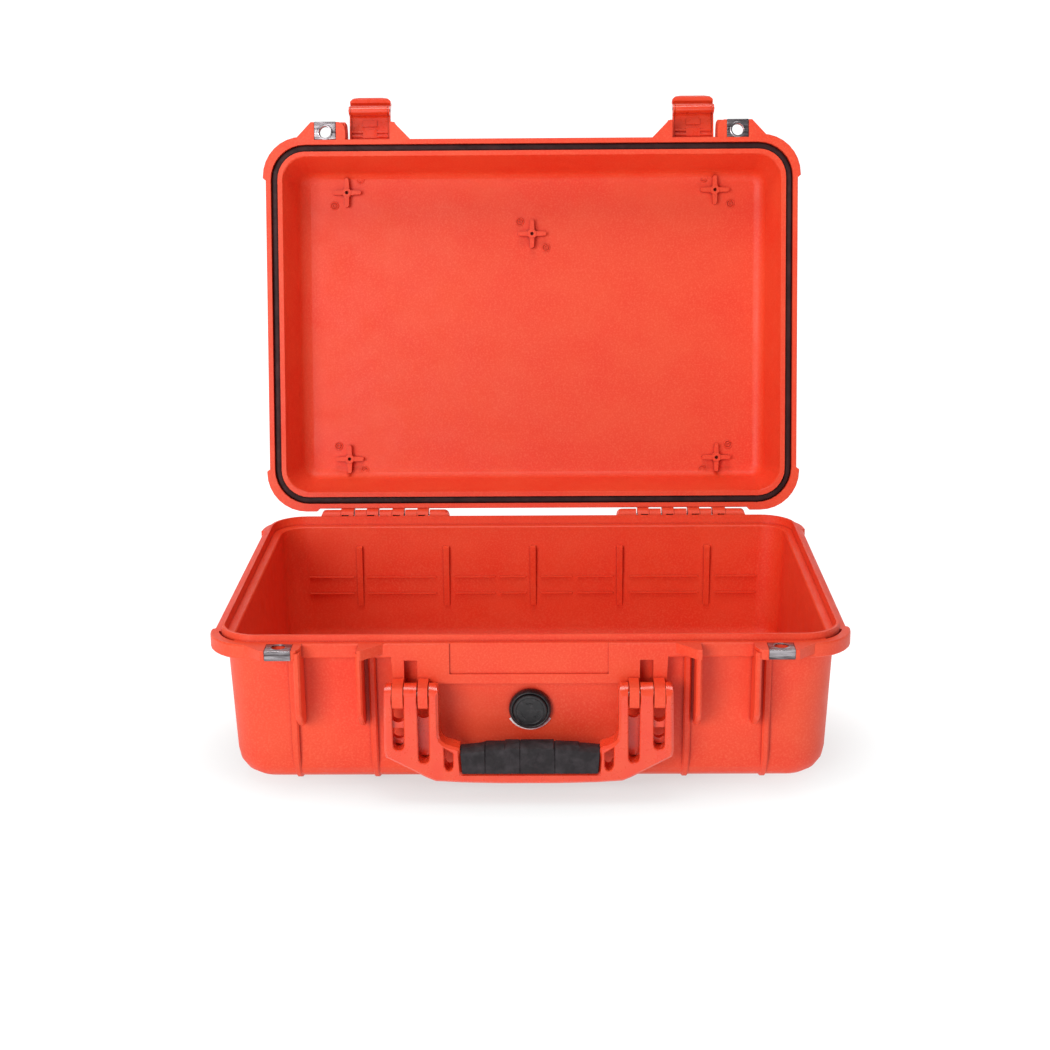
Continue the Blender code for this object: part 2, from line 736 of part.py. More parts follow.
def lever_outline():
    """The outer lever: a barrel on the lid's pin, a cover over both flanges and a lip."""
    shape = arc(LEVER_PIVOT, 4.6, -100, 95, 12)
    shape += [(-161.5, 140.0), (-167.8, 137.0), (-171.4, 131.5), (-171.8, 120.0)]
    shape += [(-171.2, 104.0), (-173.4, 97.0), (-177.6, 91.6), (-177.2, 89.2), (-175.0, 88.2)]
    shape += [(-168.4, 88.6), (-166.4, 90.4), (-166.2, 93.6), (-168.0, 95.4), (-168.0, 127.5)]
    shape += [(-165.2, 131.6), (-161.2, 132.6)]
    return shape


def cheek_outline():
    """A lever's side wall, reaching under the base's flange to the hook's pin."""
    shape = [(-169.0, 132.0), (-162.5, 130.4), (-162.5, 107.2), (-161.9, 106.6)]
    shape += arc(HOOK_PIVOT, 3.8, 90, -90, 10)
    shape += [(-163.5, 97.4), (-169.0, 95.4)]
    return shape


def hook_outline():
    """The inner hook: a round catch bar and the plate above it."""
    shape = [(-167.4, 126.0), (-166.4, 127.2), (-164.4, 127.2), (-163.5, 126.2)]
    shape += [(-163.5, 125.6), (-162.5, 125.0), (-162.5, 123.8), (-163.5, 123.2)]
    shape += [(-163.5, 121.8), (-162.5, 121.2), (-162.5, 120.0), (-163.5, 119.4)]
    shape += [(-163.5, 107.8), (-162.4, 106.6)]
    shape += arc(HOOK_PIVOT, 3.8, 90, -90, 10)
    shape += [(-163.2, 98.2), (-167.4, 102.0)]
    return shape


def build_latch(side, word):
    """One latch: outer lever, inner hook and the two pins."""
    centre = side * LATCH_MID_X
    x0 = centre - LATCH_HALF_WIDTH
    x1 = centre + LATCH_HALF_WIDTH
    lever = prism_x("latch_lever_" + word, lever_outline(), x0, x1)
    for near, far in ((x0, x0 + CHEEK), (x1 - CHEEK, x1)):
        add(lever, prism_x("cheek", cheek_outline(), near, far))
    for end, away in ((x0, -1), (x1, 1)):
        corner = [(end + away, 84.0), (end - away * 8.0, 84.0), (end - away * 8.0, 88.5)]
        corner += [(end - away * 3.0, 89.4), (end - away * 0.6, 91.6), (end + away, 94.0)]
        cut(lever, prism_y("corner", corner, -180.0, -164.0))
    cut(lever, rod_x("bore", LEVER_PIVOT, 2.0, x0 - 2, x1 + 2, 16))
    cut(lever, rod_x("bore", HOOK_PIVOT, 1.7, x0 - 2, x1 + 2, 16))
    tidy(lever)
    smooth(lever)
    paint(lever, ORANGE, 0.4)
    inner = CHEEK + 0.3
    hook = prism_x("latch_hook_" + word, hook_outline(), x0 + inner, x1 - inner)
    for low, high in ((109.6, 116.2), (118.0, 126.2)):
        block = [(-164.5, low), (-164.5, high), (-162.5, high - 0.6), (-162.5, low + 0.6)]
        add(hook, prism_x("block", block, centre - 6.2, centre + 6.2))
    cut(hook, rod_x("bore", HOOK_PIVOT, 1.7, x0 - 2, x1 + 2, 16))
    tidy(hook)
    smooth(hook)
    paint(hook, ORANGE, 0.4)
    ends = sorted((side * 119.9, side * 167.1))
    lid_pin = rod_x("latch_lid_pin_" + word, LEVER_PIVOT, 1.7, ends[0], ends[1], 16, 0.3)
    hook_pin = rod_x("latch_hook_pin_" + word, HOOK_PIVOT, 1.4, x0 - 0.45, x1 + 0.45, 16, 0.3)
    for pin in (lid_pin, hook_pin):
        smooth(pin, 50)
        paint(pin, STEEL, 0.3, 1.0)
    return lever, hook, lid_pin, hook_pin


# ---- handle


def handle_outline():
    """The frame seen from the front: a U whose arms end in knuckles."""
    grip_end = [(GRIP_HALF_BOTTOM + 0.3, GRIP_BOTTOM - 0.3), (GRIP_HALF_TOP + 0.3, 43.8)]
    arm = [(54.2, 45.3), (59.2, 46.6), (62.4, 48.4), (64.4, 50.8), (65.5, 54.5), (65.7, 60.0)]
    arm += [(65.7, 87.3), (66.3, 90.0), (68.0, 91.9), (102.0, 91.9), (103.8, 90.2)]
    arm += [(104.4, 87.4), (104.6, 84.0), (105.4, 42.0), (104.2, 37.3), (75.0, 21.4)]
    arm += [(68.5, 18.6)]
    under = [(48.0, 17.4), (20.0, 16.7)]
    right = grip_end + [(arm_x(1, x), z) for x, z in arm] + under
    left = under[::-1] + [(arm_x(-1, x), z) for x, z in reversed(arm)] + grip_end[::-1]
    return right + [(-x, z) if x > 0 else (x, z) for x, z in left]


def slot_outline(side, near, far, low, high):
    """An upright slot that narrows a little towards its round lower end."""
    half = (far - near) / 2
    radius = half - 0.5
    middle = arm_x(side, (near + far) / 2)
    round_end = arc((middle, low + radius), radius, 180, 360, 8)
    return [(middle - half, high)] + round_end + [(middle + half, high)]


def slot_floor(side, near, far, low, high, y0, y1):
    """A wall across the lower part of a slot, its upper edge dished."""
    middle = arm_x(side, (near + far) / 2)
    half = (far - near) / 2 + 0.6
    dish = arc((middle, high + 2.6), half, -35, -145, 8)
    outline = [(middle - half, low), (middle + half, low), (middle + half, high)]
    return prism_y("floor", outline + dish + [(middle - half, high)], y0, y1)


def build_handle():
    """The slotted frame and the core that the grip is pushed over."""
    half = HANDLE_HALF_THICK
    front = HANDLE_PIVOT_Y - half
    back = HANDLE_PIVOT_Y + half
    frame = plate_y("handle_frame", handle_outline(), front, back, 1.8)
    corner_slot = [(55.5, 30.0), (55.5, 40.6), (62.2, 44.8), (62.0, 30.4), (60.4, 27.4)]
    corner_slot += [(58.8, 26.7), (57.0, 27.4)]
    for side in (-1, 1):
        shapes = [slot_outline(side, *slot, 96.0) for slot in (INNER_SLOT, OUTER_SLOT)]
        shapes.append([(arm_x(side, x), z) for x, z in corner_slot])
        for shape in shapes:
            cut(frame, plate_y("slot", shape, front - 0.2, back + 0.2, -0.9))
        add(frame, slot_floor(side, INNER_SLOT[0], INNER_SLOT[1], 34.0, 65.5, -167.0, -163.8))
        add(frame, slot_floor(side, OUTER_SLOT[0], OUTER_SLOT[1], 44.5, 50.8, -169.5, -164.5))
        add(frame, slot_floor(side, OUTER_SLOT[0], OUTER_SLOT[1], 58.9, 65.5, -175.0, -167.0))
    core_low = (-54.0, -176.0, GRIP_BOTTOM - 4.0)
    add(frame, box("core", core_low, (54.0, -167.0, CORE_TOP)))
    pivot = (HANDLE_PIVOT_Y, HANDLE_PIVOT_Z)
    round_top = [(back, 0.0)] + arc(pivot, half, 0, 180, 14) + [(front, 0.0)]
    merge(frame, "INTERSECT", [prism_x("trim", round_top, -120.0, 120.0)])
    cut(frame, rod_x("bore", pivot, HANDLE_PIN_RADIUS + PIN_GAP, -110.0, -60.0, 16))
    cut(frame, rod_x("bore", pivot, HANDLE_PIN_RADIUS + PIN_GAP, 60.0, 110.0, 16))
    tidy(frame)
    smooth(frame)
    return paint(frame, ORANGE, 0.4)


def grip_section(top, inset, half_length, x):
    """One loop of the sleeve: over the top of the core and down both faces."""
    front = -181.3 + inset
    back = -161.7 - inset
    top = top - inset
    outer = [(front, GRIP_BOTTOM), (front, top - 7.0), (front + 1.8, top - 2.6)]
    outer += [(front + 5.6, top - 0.3), (-171.5, top), (back - 5.6, top - 0.3)]
    outer += [(back - 1.8, top - 2.6), (back, top - 7.0), (back, GRIP_BOTTOM)]
    bore_top = CORE_TOP + 0.3
    inner = [(-166.7, GRIP_BOTTOM), (-166.7, bore_top), (-176.3, bore_top), (-176.3, GRIP_BOTTOM)]
    loop = []
    for y, z in outer + inner:
        lean = (z - GRIP_BOTTOM) / GRIP_END_HEIGHT * (GRIP_HALF_TOP - GRIP_HALF_BOTTOM)
        reach = (half_length + lean) / half_length if half_length else 1.0
        loop.append((x * reach, y, z))
    return loop


def build_grip():
    """The rubber sleeve, stepped along its top and scored by three seams."""
    full = GRIP_HALF_BOTTOM
    end_top = GRIP_BOTTOM + GRIP_END_HEIGHT
    stations = [(-full, end_top, full), (-36.0, 44.4, 0), (-33.0, 45.2, 0), (-18.6, 45.9, 0)]
    stations += [(-17.6, 46.8, 0), (16.8, 46.8, 0), (19.4, 45.9, 0), (35.0, 45.2, 0)]
    stations += [(36.0, 44.4, 0), (full, end_top, full)]
    seams = (-32.4, -7.2, 18.0)
    rings = []
    marks = [(x, top, 0.0, lean) for x, top, lean in stations]
    for x in seams:
        top = 46.8 if abs(x) < 15 else 45.9
        marks += [(x - 0.45, top, 0.0, 0), (x, top, 0.5, 0), (x + 0.45, top, 0.0, 0)]
    for x, top, inset, lean in sorted(marks):
        rings.append(grip_section(top, inset, lean, x))
    grip = loft("handle_grip", rings)
    smooth(grip, 30)
    return paint(grip, RUBBER, 0.8)


def build_handle_pin(side, word):
    ends = arm_span(side, 66.4, 103.9)
    pivot = (HANDLE_PIVOT_Y, HANDLE_PIVOT_Z)
    pin = rod_x("handle_pin_" + word, pivot, HANDLE_PIN_RADIUS, ends[0], ends[1], 16, 0.3)
    smooth(pin, 50)
    return paint(pin, STEEL, 0.3, 1.0)


def build_hinge_pin(side, word):
    ends = sorted((side * 74.6, side * 186.8))
    pivot = (HINGE_Y, HINGE_Z)
    pin = rod_x("hinge_pin_" + word, pivot, HINGE_PIN_RADIUS, ends[0], ends[1], 16, 0.3)
    smooth(pin, 50)
    return paint(pin, STEEL, 0.3, 1.0)


# ---- purge valve, drawn about the origin with its face towards -Y


def build_valve():
    """Body, seal, knob, nut and the blank arc label; the wall's outer face is at y = 0."""
    body_profile = [(9.2, -4.6), (12.9, -4.6), (12.9, -5.6), (13.9, -5.9), (VALVE_RADIUS, -4.2)]
    body_profile += [(VALVE_RADIUS, -1.2), (STEM_RADIUS, -1.2), (STEM_RADIUS, 16.0), (5.0, 16.0)]
    rings = [[(x, y, z) for x, z in disc((0, 0), r, 40)] for r, y in body_profile]
    rings.append([(x, -2.6, z) for x, z in disc((0, 0), 5.0, 40)])
    rings.append([(x, -2.6, z) for x, z in disc((0, 0), 9.2, 40)])
    body = loft("valve_body", rings, closed=True)
    seal_loops = ((8.6, -0.9), (14.2, -0.9), (14.6, -0.6), (14.2, -0.3), (8.6, -0.3))
    seal_rings = [[(x, y, z) for x, z in disc((0, 0), r, 40)] for r, y in seal_loops]
    seal = loft("valve_seal", seal_rings, closed=True)
    knob_profile = [(4.6, 12.0), (4.6, -2.9), (8.9, -2.9), (8.9, -5.0), (KNOB_RADIUS, -5.0)]
    knob_profile += [(KNOB_RADIUS, -6.4), (11.8, -7.0), (10.4, -7.2), (9.9, -6.8)]
    knob = lathe_y("valve_knob", knob_profile, 40)
    for middle in (90, 210, 330):
        outer = arc((0, 0), 6.9, middle - 26, middle + 26, 8)
        inner = arc((0, 0), 5.5, middle + 26, middle - 26, 8)
        cut(knob, prism_y("mark", outer + inner, -8.0, -6.2))
    hexagon = disc((0, 0), 13.0, 6)
    nut = prism_y("valve_nut", hexagon, 5.0, 9.0)
    cut(nut, prism_y("thread", disc((0, 0), STEM_RADIUS + PIN_GAP, 24), 4.0, 10.0))
    outer = arc((0, 0), 17.7, 210, 330, 24)
    inner = arc((0, 0), 15.9, 330, 210, 24)
    label = prism_y("valve_label", outer + inner, -0.6, -0.3)
    for piece in (body, seal, knob, nut, label):
        smooth(piece, 30)
    paint(body, BLACK, 0.4)
    paint(seal, RUBBER, 0.8)
    paint(knob, BLACK, 0.4)
    paint(nut, BLACK, 0.5)
    paint(label, PALE, 0.6)
    lean = Matrix.Rotation(math.atan(WALL_DRAFT_Y), 4, "X")
    depth = BASE_TOP - BASE_FLANGE - VALVE_Z
    face_y = -(WALL_HALF_Y - WALL_DRAFT_Y * depth)
    place = Matrix.Translation((0, face_y * MM, VALVE_Z * MM)) @ lean
    for piece in (body, seal, knob, nut, label):
        piece.data.transform(place)
    return (0.0, face_y, VALVE_Z)


# ---- placing


def pivot_here(target, point):
    """Puts an object's origin at a point without moving its mesh."""
    spot = Vector(point) * MM
    target.data.transform(Matrix.Translation(-spot))
    target.location = spot


def turn(targets, point, degrees):
    """Turns meshes about an X-parallel line through a (y, z) point."""
    spot = Vector((0, point[0], point[1])) * MM
    spin = Matrix.Rotation(math.radians(degrees), 4, "X")
    move = Matrix.Translation(spot) @ spin @ Matrix.Translation(-spot)
    for target in targets:
        target.data.transform(move)


def turned_point(point, about, degrees):
    """A (y, z) point turned about another."""
    a = math.radians(degrees)
    y = point[0] - about[0]
    z = point[1] - about[1]
    return (
        about[0] + y * math.cos(a) - z * math.sin(a),
        about[1] + y * math.sin(a) + z * math.cos(a),
    )


def main():
    for item in list(bpy.data.objects):
        bpy.data.objects.remove(item)
    hinge = (HINGE_Y, HINGE_Z)
    base = build_base()
    lid = build_lid()
    gasket = build_gasket()
    on_lid = [lid, gasket]
    origins = {}
    for side, word in ((-1, "left"), (1, "right")):
        build_padlock_plate("padlock_plate_base_" + word, side, BASE_TOP - EAR_THICK)
        on_lid.append(build_padlock_plate("padlock_plate_lid_" + word, side, LID_RIM))
        build_hinge_pin(side, word)
        build_handle_pin(side, word)
        lever, hook, lid_pin, hook_pin = build_latch(side, word)
        turn([lever, hook, hook_pin], LEVER_PIVOT, -LEVER_OPEN_DEG)
        turn([lever, hook, hook_pin, lid_pin], hinge, -LID_OPEN_DEG)
        lever_axis = turned_point(LEVER_PIVOT, hinge, -LID_OPEN_DEG)
        hook_axis = turned_point(HOOK_PIVOT, LEVER_PIVOT, -LEVER_OPEN_DEG)
        hook_axis = turned_point(hook_axis, hinge, -LID_OPEN_DEG)
        origins[lever] = (side * LATCH_MID_X, *lever_axis)
        origins[lid_pin] = (side * LATCH_MID_X, *lever_axis)
        origins[hook] = (side * LATCH_MID_X, *hook_axis)
        origins[hook_pin] = (side * LATCH_MID_X, *hook_axis)
    turn(on_lid, hinge, -LID_OPEN_DEG)
    core_slots(lid)
    smooth(lid)
    for piece in on_lid:
        origins[piece] = (0.0, HINGE_Y, HINGE_Z)
    frame = build_handle()
    grip = build_grip()
    for piece in (frame, grip):
        origins[piece] = (0.0, HANDLE_PIVOT_Y, HANDLE_PIVOT_Z)
    valve_at = build_valve()
    for name in ("valve_body", "valve_knob", "valve_seal", "valve_nut", "valve_label"):
        origins[bpy.data.objects[name]] = valve_at
    for piece, point in origins.items():
        pivot_here(piece, point)
    for item in bpy.data.objects:
        item.location.y += SHIFT_Y * MM
    return base


main()
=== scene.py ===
"""Looks for the hard equipment case: finer pieces, moulded plastic, rubber and steel, light and camera.

Lengths are millimetres times MM. The lid's own pieces are drawn with the lid shut and then turned
open about its hinge, as the lid itself was.
"""

import json
import math

import bmesh
import bpy
from mathutils import Matrix, Vector


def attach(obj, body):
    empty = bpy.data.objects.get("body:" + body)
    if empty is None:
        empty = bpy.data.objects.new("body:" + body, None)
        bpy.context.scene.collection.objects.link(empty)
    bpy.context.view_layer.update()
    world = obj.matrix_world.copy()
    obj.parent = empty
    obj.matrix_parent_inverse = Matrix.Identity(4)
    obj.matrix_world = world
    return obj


MM = 0.001

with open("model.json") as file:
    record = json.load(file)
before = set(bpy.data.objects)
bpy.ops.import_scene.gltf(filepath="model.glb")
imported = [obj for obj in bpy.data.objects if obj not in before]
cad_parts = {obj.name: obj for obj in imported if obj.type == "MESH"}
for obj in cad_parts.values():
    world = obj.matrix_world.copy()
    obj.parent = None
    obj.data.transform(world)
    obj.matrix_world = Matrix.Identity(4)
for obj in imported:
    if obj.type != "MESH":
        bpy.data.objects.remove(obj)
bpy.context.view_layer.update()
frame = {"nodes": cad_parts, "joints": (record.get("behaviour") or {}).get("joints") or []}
nodes = frame["nodes"]
joints = {joint["name"]: joint for joint in frame["joints"]}

# Places in the row frame. The hinge is read from the frame, and the others stand where the part
# was drawn: its own middle is 168.8 mm in front of the hinge.
HINGE = Vector(joints["lid_hinge"]["pos_m"])
LID_OPEN = math.radians(102.0)
LID_TURN = Matrix.Translation(HINGE) @ Matrix.Rotation(-LID_OPEN, 4, "X") @ Matrix.Translation(-HINGE)
CASE_MID_Y = HINGE.y - 168.8 * MM
LID_RIM = 118.9 * MM
LID_FLOOR = LID_RIM + 44.0 * MM
BASE_TOP = 118.3 * MM
EAR_THICK = 7.5 * MM
PADLOCK_HOLE_X = 180.0 * MM
PADLOCK_HOLE_Y = CASE_MID_Y - 168.0 * MM

# The share of its height that a padlock ring keeps on the face where the two halves meet
MATING_RING_HEIGHT = 0.45

# Plastic colours, linear
ORANGE = (0.80, 0.062, 0.017)
ORANGE_DEEP = (0.79, 0.044, 0.011)
ORANGE_PALE = (0.86, 0.118, 0.050)
# ORANGE_PAINTED_SHADE is painted shade: the darker red laid into corners, creases and gaps.
ORANGE_PAINTED_SHADE = (0.40, 0.010, 0.004)

# Edges sharper than these are rounded on the frame's nodes, or stay creased on new pieces
ROUNDED_EDGE = math.radians(35)
CREASED_EDGE = math.radians(40)

# The backdrop in metres: a flat floor, a quarter round of SWEEP_RADIUS and an upright wall
FLOOR_HALF_WIDTH = 12.0
FLOOR_FRONT = -12.0
SWEEP_START = 2.2
SWEEP_RADIUS = 1.6
SWEEP_STEPS = 12
WALL_TOP = 6.0

# The floor's own glow is painted light, and its weak oval is a painted shadow under the case.
# The glow is weakest within GLOW_START of a spot 0.12 m in front of the origin, and at its full
# strength from GLOW_FULL outwards. The stretch doubles those distances sideways.
GLOW_SHIFT = (0.0, 0.12, 0.0)
GLOW_STRETCH = (0.50, 1.0, 1.0)
GLOW_IN_PAINTED_SHADOW = 0.60
GLOW_START = 0.08
GLOW_FULL = 0.17

# Camera
CAMERA_EYE = Vector((15.565 * MM, -1458.326 * MM + CASE_MID_Y, 586.419 * MM))
CAMERA_PITCH = math.radians(16.306)
CAMERA_YAW = math.radians(-0.798)
CAMERA_ROLL = math.radians(-0.461)
CAMERA_LENS = 65.62
CAMERA_SENSOR = 36.0


# ---- material nodes


class Surface:
    """A Principled material and short ways to hang procedural detail on it."""

    def __init__(self, name, colour, roughness, metallic=0.0):
        self.material = bpy.data.materials.new(name)
        self.material.use_nodes = True
        self.tree = self.material.node_tree
        self.shader = self.tree.nodes["Principled BSDF"]
        self.shader.inputs["Base Color"].default_value = (*colour, 1.0)
        self.shader.inputs["Roughness"].default_value = roughness
        self.shader.inputs["Metallic"].default_value = metallic
        self.place = self.tree.nodes.new("ShaderNodeTexCoord").outputs["Object"]
        self.normal = None

    def link(self, source, target):
        self.tree.links.new(source, target)

    def noise(self, size_mm, detail=3.0, stretch=None):
        """A noise whose features are about size_mm across."""
        place = self.place
        if stretch:
            mapping = self.tree.nodes.new("ShaderNodeMapping")
            mapping.inputs["Scale"].default_value = stretch
            self.link(place, mapping.inputs["Vector"])
            place = mapping.outputs["Vector"]
        texture = self.tree.nodes.new("ShaderNodeTexNoise")
        texture.inputs["Scale"].default_value = 1.0 / (size_mm * MM)
        texture.inputs["Detail"].default_value = detail
        texture.inputs["Roughness"].default_value = 0.55
        self.link(place, texture.inputs["Vector"])
        return texture.outputs["Fac"]

    def cells(self, size_mm):
        """Rounded cells, for a stippled mould texture."""
        texture = self.tree.nodes.new("ShaderNodeTexVoronoi")
        texture.feature = "SMOOTH_F1"
        texture.inputs["Scale"].default_value = 1.0 / (size_mm * MM)
        texture.inputs["Smoothness"].default_value = 0.6
        self.link(self.place, texture.inputs["Vector"])
        return texture.outputs["Distance"]

    def spread(self, source, low, high, from_low=0.3, from_high=0.7):
        """The source stretched onto a new range."""
        node = self.tree.nodes.new("ShaderNodeMapRange")
        node.inputs["From Min"].default_value = from_low
        node.inputs["From Max"].default_value = from_high
        node.inputs["To Min"].default_value = low
        node.inputs["To Max"].default_value = high
        self.link(source, node.inputs["Value"])
        return node.outputs["Result"]

    def blend(self, share, first, second):
        """Two colours mixed by a share; each is a tuple or a colour output."""
        node = self.tree.nodes.new("ShaderNodeMix")
        node.data_type = "RGBA"
        self.link(share, node.inputs["Factor"])
        for colour, socket in ((first, node.inputs["A"]), (second, node.inputs["B"])):
            if isinstance(colour, tuple):
                socket.default_value = (*colour, 1.0)
            else:
                self.link(colour, socket)
        return node.outputs["Result"]

    def painted_crevice_shade(self, reach_mm):
        """How closed in the surface is: 0 in the open, 1 in a corner within reach_mm; the mask for painted
        shade.
        """
        node = self.tree.nodes.new("ShaderNodeAmbientOcclusion")
        node.samples = 6
        node.inputs["Distance"].default_value = reach_mm * MM
        return self.spread(node.outputs["AO"], 1.0, 0.0, 0.30, 0.78)

    def colour(self, output):
        self.link(output, self.shader.inputs["Base Color"])

    def rough(self, output):
        self.link(output, self.shader.inputs["Roughness"])

    def bump(self, height, depth_mm, strength=1.0):
        """Stacks one more bump on the surface."""
        node = self.tree.nodes.new("ShaderNodeBump")
        node.inputs["Strength"].default_value = strength
        node.inputs["Distance"].default_value = depth_mm * MM
        self.link(height, node.inputs["Height"])
        if self.normal:
            self.link(self.normal, node.inputs["Normal"])
        self.normal = node.outputs["Normal"]
        self.link(self.normal, self.shader.inputs["Normal"])


def moulded_shell():
    """Structural plastic with a fine stipple and cloudy colour, as on the shells, and painted shade in its
    corners and gaps.
    """
    surface = Surface("shell_plastic", ORANGE, 0.5)
    cloud = surface.spread(surface.noise(46, 4.0), 0.0, 1.0, 0.36, 0.64)
    tone = surface.blend(cloud, ORANGE_DEEP, ORANGE)
    speck = surface.spread(surface.noise(1.5, 2.0), 0.0, 0.55, 0.45, 0.75)
    open_tone = surface.blend(speck, tone, ORANGE_PALE)
    # Corners, creases and gaps are darkened to a deeper red: painted shade.
    surface.colour(surface.blend(surface.painted_crevice_shade(3.5), open_tone, ORANGE_PAINTED_SHADE))
    surface.rough(surface.spread(surface.noise(24, 5.0), 0.44, 0.58))
    surface.bump(surface.cells(1.1), 0.05, 0.55)
    surface.bump(surface.noise(9.0, 4.0), 0.10, 0.35)
    surface.shader.inputs["Specular IOR Level"].default_value = 0.42
    return surface.material


def glossy_part(name):
    """The smoother plastic of the handle and latches, with painted shade in its corners and gaps."""
    surface = Surface(name, ORANGE, 0.3)
    cloud = surface.spread(surface.noise(18, 4.0), 0.0, 1.0, 0.36, 0.64)
    open_tone = surface.blend(cloud, ORANGE_DEEP, ORANGE)
    # Corners, creases and gaps are darkened to a deeper red: painted shade.
    surface.colour(surface.blend(surface.painted_crevice_shade(3.0), open_tone, ORANGE_PAINTED_SHADE))
    surface.rough(surface.spread(surface.noise(5.0, 6.0), 0.22, 0.40))
    surface.bump(surface.noise(2.2, 3.0), 0.03, 0.35)
    surface.shader.inputs["Specular IOR Level"].default_value = 0.5
    surface.shader.inputs["Coat Weight"].default_value = 0.25
    surface.shader.inputs["Coat Roughness"].default_value = 0.12
    return surface.material


def black_moulding():
    """The valve's satin black plastic, faintly scuffed."""
    surface = Surface("valve_plastic", (0.012, 0.010, 0.012), 0.38)
    scuff = surface.spread(surface.noise(2.6, 6.0), 0.0, 1.0, 0.52, 0.78)
    surface.colour(surface.blend(scuff, (0.009, 0.007, 0.009), (0.040, 0.034, 0.038)))
    surface.rough(surface.spread(surface.noise(3.5, 5.0), 0.28, 0.5))
    surface.bump(surface.noise(0.8, 3.0), 0.02, 0.4)
    return surface.material


def grip_rubber():
    """Soft grip rubber, dusty in random patches and faintly pitted."""
    surface = Surface("grip_rubber", (0.020, 0.015, 0.018), 0.62)
    dust = surface.spread(surface.noise(7.0, 7.0), 0.0, 1.0, 0.42, 0.72)
    surface.colour(surface.blend(dust, (0.014, 0.010, 0.012), (0.036, 0.028, 0.032)))
    surface.rough(surface.spread(surface.noise(4.0, 5.0), 0.5, 0.74))
    surface.bump(surface.cells(0.8), 0.06, 0.5)
    surface.bump(surface.noise(11.0, 3.0), 0.2, 0.4)
    surface.shader.inputs["Specular IOR Level"].default_value = 0.3
    return surface.material


def seal_rubber(name):
    """The gasket's closed-cell rubber, brown-black."""
    surface = Surface(name, (0.052, 0.026, 0.030), 0.6)
    patch = surface.spread(surface.noise(14.0, 4.0), 0.0, 1.0, 0.35, 0.68)
    surface.colour(surface.blend(patch, (0.026, 0.008, 0.009), (0.052, 0.018, 0.020)))
    surface.shader.inputs["Specular IOR Level"].default_value = 0.3
    surface.rough(surface.spread(surface.noise(3.0, 4.0), 0.5, 0.72))
    surface.bump(surface.noise(0.9, 3.0), 0.06, 0.5)
    return surface.material


def rolled_steel(name, roughness):
    """Bright sheet steel with fine rolling lines and small scratches, and painted reflection streaks in its
    colour.
    """
    surface = Surface(name, (0.5, 0.48, 0.49), roughness, 1.0)
    lines = surface.noise(1.2, 4.0, stretch=(0.08, 1.0, 1.0))
    patch = surface.spread(surface.noise(2.4, 4.0, stretch=(0.10, 1.0, 1.0)), 0.0, 1.0, 0.36, 0.66)
    # The dark and bright streaks along X in the colour are painted reflection bands.
    surface.colour(surface.blend(patch, (0.08, 0.065, 0.07), (0.44, 0.40, 0.42)))
    surface.rough(surface.spread(lines, roughness - 0.08, roughness + 0.14))
    surface.bump(lines, 0.02, 0.3)
    return surface.material


def label_film():
    """A blank pale film with faint pink patches."""
    surface = Surface("label_film", (0.80, 0.72, 0.73), 0.45)
    patch = surface.spread(surface.noise(6.0, 3.0), 0.0, 1.0, 0.42, 0.6)
    surface.colour(surface.blend(patch, (0.86, 0.80, 0.80), (0.72, 0.40, 0.46)))
    surface.rough(surface.spread(surface.noise(2.0, 3.0), 0.38, 0.55))
    surface.bump(surface.noise(1.0, 2.0), 0.01, 0.2)
    return surface.material


# ---- geometry helpers


def dress(name, material, bevel_mm=0.0):
    """Gives a CAD node its material and rounds its hard edges a little."""
    node = nodes[name]
    node.data.materials.clear()
    node.data.materials.append(material)
    weld = node.modifiers.new("weld", "WELD")
    weld.merge_threshold = 0.00001
    if bevel_mm:
        bevel = node.modifiers.new("round", "BEVEL")
        bevel.width = bevel_mm * MM
        bevel.segments = 2
        bevel.limit_method = "ANGLE"
        bevel.angle_limit = ROUNDED_EDGE
        bevel.use_clamp_overlap = True
        bevel.harden_normals = False
    weighted = node.modifiers.new("shade", "WEIGHTED_NORMAL")
    weighted.keep_sharp = False
    for polygon in node.data.polygons:
        polygon.use_smooth = True


def piece(name, points, faces, material, body):
    """A new visible piece in the row frame, riding on a body."""
    mesh = bpy.data.meshes.new(name)
    mesh.from_pydata([tuple(p) for p in points], [], faces)
    bm = bmesh.new()
    bm.from_mesh(mesh)
    bmesh.ops.recalc_face_normals(bm, faces=bm.faces)
    bm.to_mesh(mesh)
    bm.free()
    for polygon in mesh.polygons:
        polygon.use_smooth = True
    mesh.set_sharp_from_angle(angle=CREASED_EDGE)
    mesh.materials.append(material)
    made = bpy.data.objects.new(name, mesh)
    bpy.context.scene.collection.objects.link(made)
    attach(made, body)


def turned_ring(profile, steps):
    """Points and faces of a closed ring whose section is a loop of (radius, height) pairs."""
    points = []
    faces = []
    count = len(profile)
    for i in range(steps):
        angle = 2 * math.pi * i / steps
        for radius, height in profile:
            points.append(Vector((radius * math.cos(angle), radius * math.sin(angle), height)))
    for i in range(steps):
        j = (i + 1) % steps
        for k in range(count):
            m = (k + 1) % count
            faces.append((i * count + k, j * count + k, j * count + m, i * count + m))
    return points, faces


# ---- dressing the frame

shell = moulded_shell()
latch_plastic = glossy_part("latch_plastic")
handle_plastic = glossy_part("handle_plastic")
valve_plastic = black_moulding()
grip_material = grip_rubber()
gasket_material = seal_rubber("gasket_rubber")
washer_material = seal_rubber("seal_rubber")
plate_steel = rolled_steel("plate_steel", 0.26)
pin_steel = rolled_steel("pin_steel", 0.34)
film = label_film()

